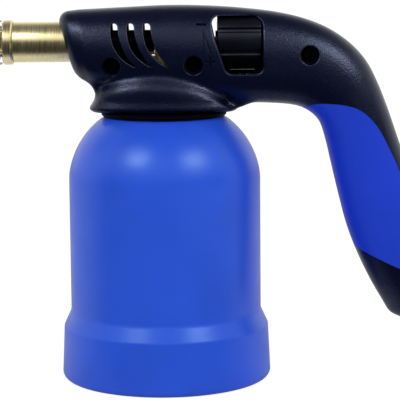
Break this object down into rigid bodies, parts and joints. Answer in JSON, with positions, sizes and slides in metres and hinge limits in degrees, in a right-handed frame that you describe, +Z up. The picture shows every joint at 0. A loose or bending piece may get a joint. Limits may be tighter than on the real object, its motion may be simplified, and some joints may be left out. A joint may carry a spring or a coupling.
{
  "type": "gas blowlamp",
  "caption": "Hand-held gas blowlamp with a blue cartridge bell, a brass burner tube and a curved moulded handle with a control knob in its head.",
  "frame": {"origin": "on the bell's axis, on the plane that the lamp stands on, at the middle of the base cap's grip bar", "axes": "+Z up along the bell's axis, +X towards the handle, -X towards the burner's mouth, -Y the side with the screw wells"},
  "size_m": [0.2574, 0.1046, 0.186],
  "materials": {
    "bell_blue": "satin",
    "grip_blue": "satin",
    "housing_black": "fine grain",
    "collar_black": "satin",
    "knob_black": "satin",
    "brass": "polished",
    "steel": "brushed",
    "dark_steel": "blackened",
    "can_steel": "satin",
    "rubber": "matt"
  },
  "bodies": {
    "bell_body": {"bell": "bell_blue", "neck_bush": "steel"},
    "cartridge_body": {"cartridge": "can_steel"},
    "base_body": {"base_cap": "bell_blue", "cartridge_pad": "rubber"},
    "seal_body": {"cartridge_seal": "rubber"},
    "head_body": {"neck_collar": "collar_black", "valve_body": "brass", "piercing_needle": "steel", "gas_jet": "brass", "gland_nut": "brass", "mixing_tube": "dark_steel", "burner_tube": "brass", "burner_neck": "brass", "flame_holder": "brass", "flame_sleeve": "steel", "housing_front": "housing_black", "housing_rear": "housing_black", "grip_insert": "grip_blue", "housing_screw_nose": "dark_steel", "housing_screw_neck": "dark_steel", "housing_screw_crook": "dark_steel", "housing_screw_heel": "dark_steel"},
    "needle_body": {"valve_needle": "steel"},
    "knob_body": {"control_knob": "knob_black", "knob_screw": "steel", "valve_spindle": "brass", "spindle_o_ring": "rubber"}
  },
  "joints": [
    {"name": "cartridge_drop", "type": "slide", "parent": "bell_body", "child": "cartridge_body", "axis": [0, 0, -1], "range_m": [0, 0.006]},
    {"name": "base_turn", "type": "hinge", "parent": "cartridge_body", "child": "base_body", "pos_m": [0, 0, 0], "axis": [0, 0, -1], "range_deg": [0, 180.5]},
    {"name": "head_lift", "type": "slide", "parent": "bell_body", "child": "seal_body", "axis": [0, 0, 1], "range_m": [0, 0.006]},
    {"name": "head_turn", "type": "hinge", "parent": "seal_body", "child": "head_body", "pos_m": [0, 0, 0], "axis": [0, 0, 1], "range_deg": [0, 1444]},
    {"name": "knob_turn", "type": "hinge", "parent": "head_body", "child": "knob_body", "pos_m": [0, 0, 0.1682], "axis": [1, 0, 0], "range_deg": [0, 541.5]},
    {"name": "needle_travel", "type": "slide", "parent": "head_body", "child": "needle_body", "axis": [1, 0, 0], "range_m": [0, 0.0015]}
  ],
  "couplings": [
    {"joint": "base_turn", "follows": "cartridge_drop", "rad_per_m": 523.6},
    {"joint": "head_turn", "follows": "head_lift", "rad_per_m": 4188.8},
    {"joint": "knob_turn", "follows": "needle_travel", "rad_per_m": 6283.2}
  ]
}
